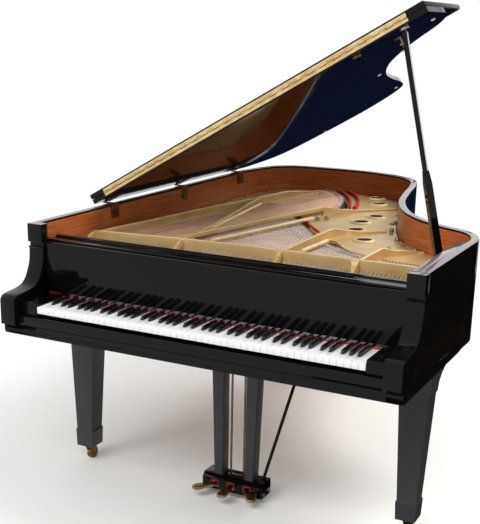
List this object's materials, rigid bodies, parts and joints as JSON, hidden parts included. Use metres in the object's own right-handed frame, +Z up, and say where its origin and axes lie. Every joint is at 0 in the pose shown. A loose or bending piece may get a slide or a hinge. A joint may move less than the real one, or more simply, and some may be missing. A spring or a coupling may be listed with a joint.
{
  "type": "grand piano",
  "caption": "Grand piano with its lid propped open and its front flap folded back: keyboard, fallboard, strung iron plate, tapered legs on casters and a pedal lyre.",
  "frame": {"origin": "on the floor, under the centre of the whole object with its lid open", "axes": "+X from bass to treble along the keyboard, +Y from the keyboard to the tail, +Z up"},
  "size_m": [1.5094, 2.2186, 1.7779],
  "materials": {
    "black_lacquer": "high-gloss black polyester lacquer on wood",
    "black_satin": "satin black lacquer on wood",
    "mahogany": "red-brown mahogany veneer, varnished",
    "spruce": "spruce, clear varnish",
    "maple": "laminated maple",
    "gold_iron": "gold-bronze paint on cast iron",
    "brass": "polished brass",
    "copper_winding": "copper-wound steel wire",
    "plated_steel": "polished steel wire and nickel-plated pins",
    "felt": "wool felt",
    "white_key": "glossy white key covering",
    "black_key": "glossy black key covering"
  },
  "bodies": {
    "case": {"case_rim": "black_lacquer", "inner_rim": "mahogany", "case_braces": "spruce", "soundboard": "spruce", "pin_block": "maple", "iron_plate": "gold_iron", "tuning_pins": "plated_steel", "bass_strings": "copper_winding", "steel_strings": "plated_steel", "dampers": "felt", "hammer_action": "felt", "key_bed": "black_lacquer", "key_slip": "black_lacquer", "key_block_left": "black_lacquer", "key_block_right": "black_lacquer", "desk_rails": "black_lacquer", "prop_block": "black_lacquer", "prop_bracket": "brass", "rim_hinge_front": "brass", "rim_hinge_middle": "brass", "rim_hinge_rear": "brass", "leg_front_left": "black_satin", "leg_front_right": "black_satin", "leg_rear": "black_satin", "lyre_frame": "black_satin", "pedal_box": "black_satin", "lyre_brace": "black_satin"},
    "lid": {"lid_main": "black_lacquer", "lid_hinge_leaf": "brass", "prop_cup_high": "brass", "prop_cup_low": "brass", "lid_hinge_front": "brass", "lid_hinge_middle": "brass", "lid_hinge_rear": "brass"},
    "lid_flap": {"lid_flap": "black_lacquer", "flap_hinge_leaf": "brass"},
    "prop": {"prop_stick": "black_lacquer"},
    "fallboard": {"fallboard": "black_lacquer"},
    "bass_keys": {"bass_natural_keys": "white_key", "bass_sharp_keys": "black_key"},
    "treble_keys": {"treble_natural_keys": "white_key", "treble_sharp_keys": "black_key"},
    "key_c4": {"key_c4": "white_key"},
    "key_c_sharp4": {"key_c_sharp4": "black_key"},
    "key_d4": {"key_d4": "white_key"},
    "key_d_sharp4": {"key_d_sharp4": "black_key"},
    "key_e4": {"key_e4": "white_key"},
    "key_f4": {"key_f4": "white_key"},
    "pedal_soft": {"pedal_soft": "brass"},
    "pedal_rod_soft": {"pedal_rod_soft": "brass"},
    "pedal_sostenuto": {"pedal_sostenuto": "brass"},
    "pedal_rod_sostenuto": {"pedal_rod_sostenuto": "brass"},
    "pedal_sustain": {"pedal_sustain": "brass"},
    "pedal_rod_sustain": {"pedal_rod_sustain": "brass"},
    "caster_fork_front_left": {"caster_fork_front_left": "brass"},
    "caster_wheel_front_left": {"caster_wheel_front_left": "brass"},
    "caster_fork_front_right": {"caster_fork_front_right": "brass"},
    "caster_wheel_front_right": {"caster_wheel_front_right": "brass"},
    "caster_fork_rear": {"caster_fork_rear": "brass"},
    "caster_wheel_rear": {"caster_wheel_rear": "brass"}
  },
  "joints": [
    {"name": "fallboard_hinge", "type": "hinge", "parent": "case", "child": "fallboard", "pos_m": [0.01287, -0.908, 0.77], "axis": [1, 0, 0], "range_deg": [0, 90]},
    {"name": "lid_hinge", "type": "hinge", "parent": "case", "child": "lid", "pos_m": [-0.74183, -0.3733, 1.0021], "axis": [0, -1, 0], "range_deg": [0, 30]},
    {"name": "flap_hinge", "type": "hinge", "parent": "lid", "child": "lid_flap", "pos_m": [-0.74666, -0.5254, 1.01051], "axis": [0.8673, 0, 0.4977], "range_deg": [0, 180]},
    {"name": "prop_hinge", "type": "hinge", "parent": "case", "child": "prop", "pos_m": [0.66687, -0.5153, 0.945], "axis": [-0.8203, -0.5403, -0.1877], "range_deg": [0, 75]},
    {"name": "bass_keys_pivot", "type": "hinge", "parent": "case", "child": "bass_keys", "pos_m": [0.01287, -0.8533, 0.7036], "axis": [1, 0, 0], "range_deg": [0, 2.6], "stiffness_Nm_per_rad": 20, "springref_deg": -11.46},
    {"name": "treble_keys_pivot", "type": "hinge", "parent": "case", "child": "treble_keys", "pos_m": [0.01287, -0.8533, 0.7036], "axis": [1, 0, 0], "range_deg": [0, 2.6], "stiffness_Nm_per_rad": 20, "springref_deg": -11.46},
    {"name": "key_c4_pivot", "type": "hinge", "parent": "case", "child": "key_c4", "pos_m": [0.01287, -0.8533, 0.7036], "axis": [1, 0, 0], "range_deg": [0, 2.6], "stiffness_Nm_per_rad": 0.5, "springref_deg": -11.46},
    {"name": "key_c_sharp4_pivot", "type": "hinge", "parent": "case", "child": "key_c_sharp4", "pos_m": [0.01287, -0.8533, 0.7036], "axis": [1, 0, 0], "range_deg": [0, 2.6], "stiffness_Nm_per_rad": 0.5, "springref_deg": -11.46},
    {"name": "key_d4_pivot", "type": "hinge", "parent": "case", "child": "key_d4", "pos_m": [0.01287, -0.8533, 0.7036], "axis": [1, 0, 0], "range_deg": [0, 2.6], "stiffness_Nm_per_rad": 0.5, "springref_deg": -11.46},
    {"name": "key_d_sharp4_pivot", "type": "hinge", "parent": "case", "child": "key_d_sharp4", "pos_m": [0.01287, -0.8533, 0.7036], "axis": [1, 0, 0], "range_deg": [0, 2.6], "stiffness_Nm_per_rad": 0.5, "springref_deg": -11.46},
    {"name": "key_e4_pivot", "type": "hinge", "parent": "case", "child": "key_e4", "pos_m": [0.01287, -0.8533, 0.7036], "axis": [1, 0, 0], "range_deg": [0, 2.6], "stiffness_Nm_per_rad": 0.5, "springref_deg": -11.46},
    {"name": "key_f4_pivot", "type": "hinge", "parent": "case", "child": "key_f4", "pos_m": [0.01287, -0.8533, 0.7036], "axis": [1, 0, 0], "range_deg": [0, 2.6], "stiffness_Nm_per_rad": 0.5, "springref_deg": -11.46},
    {"name": "pedal_soft_hinge", "type": "hinge", "parent": "case", "child": "pedal_soft", "pos_m": [-0.05913, -0.7233, 0.042], "axis": [1, 0, 0], "range_deg": [0, 7], "stiffness_Nm_per_rad": 10, "springref_deg": -17.19},
    {"name": "pedal_rod_soft_slide", "type": "slide", "parent": "case", "child": "pedal_rod_soft", "axis": [0, 0, 1], "range_m": [0, 0.0033]},
    {"name": "pedal_sostenuto_hinge", "type": "hinge", "parent": "case", "child": "pedal_sostenuto", "pos_m": [0.00887, -0.7233, 0.042], "axis": [1, 0, 0], "range_deg": [0, 7], "stiffness_Nm_per_rad": 10, "springref_deg": -17.19},
    {"name": "pedal_rod_sostenuto_slide", "type": "slide", "parent": "case", "child": "pedal_rod_sostenuto", "axis": [0, 0, 1], "range_m": [0, 0.0033]},
    {"name": "pedal_sustain_hinge", "type": "hinge", "parent": "case", "child": "pedal_sustain", "pos_m": [0.07687, -0.7233, 0.042], "axis": [1, 0, 0], "range_deg": [0, 7], "stiffness_Nm_per_rad": 10, "springref_deg": -17.19},
    {"name": "pedal_rod_sustain_slide", "type": "slide", "parent": "case", "child": "pedal_rod_sustain", "axis": [0, 0, 1], "range_m": [0, 0.0033]},
    {"name": "caster_swivel_front_left", "type": "hinge", "parent": "case", "child": "caster_fork_front_left", "pos_m": [-0.65473, -0.7038, 0.05], "axis": [0, 0, 1], "continuous": true},
    {"name": "caster_roll_front_left", "type": "hinge", "parent": "caster_fork_front_left", "child": "caster_wheel_front_left", "pos_m": [-0.65473, -0.6878, 0.024], "axis": [1, 0, 0], "continuous": true},
    {"name": "caster_swivel_front_right", "type": "hinge", "parent": "case", "child": "caster_fork_front_right", "pos_m": [0.68047, -0.7038, 0.05], "axis": [0, 0, 1], "continuous": true},
    {"name": "caster_roll_front_right", "type": "hinge", "parent": "caster_fork_front_right", "child": "caster_wheel_front_right", "pos_m": [0.68047, -0.6878, 0.024], "axis": [1, 0, 0], "continuous": true},
    {"name": "caster_swivel_rear", "type": "hinge", "parent": "case", "child": "caster_fork_rear", "pos_m": [-0.29713, 0.8132, 0.05], "axis": [0, 0, 1], "continuous": true},
    {"name": "caster_roll_rear", "type": "hinge", "parent": "caster_fork_rear", "child": "caster_wheel_rear", "pos_m": [-0.29713, 0.8292, 0.024], "axis": [1, 0, 0], "continuous": true}
  ],
  "couplings": [
    {"joint": "pedal_rod_soft_slide", "follows": "pedal_soft_hinge", "m_per_rad": 0.0263},
    {"joint": "pedal_rod_sostenuto_slide", "follows": "pedal_sostenuto_hinge", "m_per_rad": 0.0263},
    {"joint": "pedal_rod_sustain_slide", "follows": "pedal_sustain_hinge", "m_per_rad": 0.0263}
  ]
}
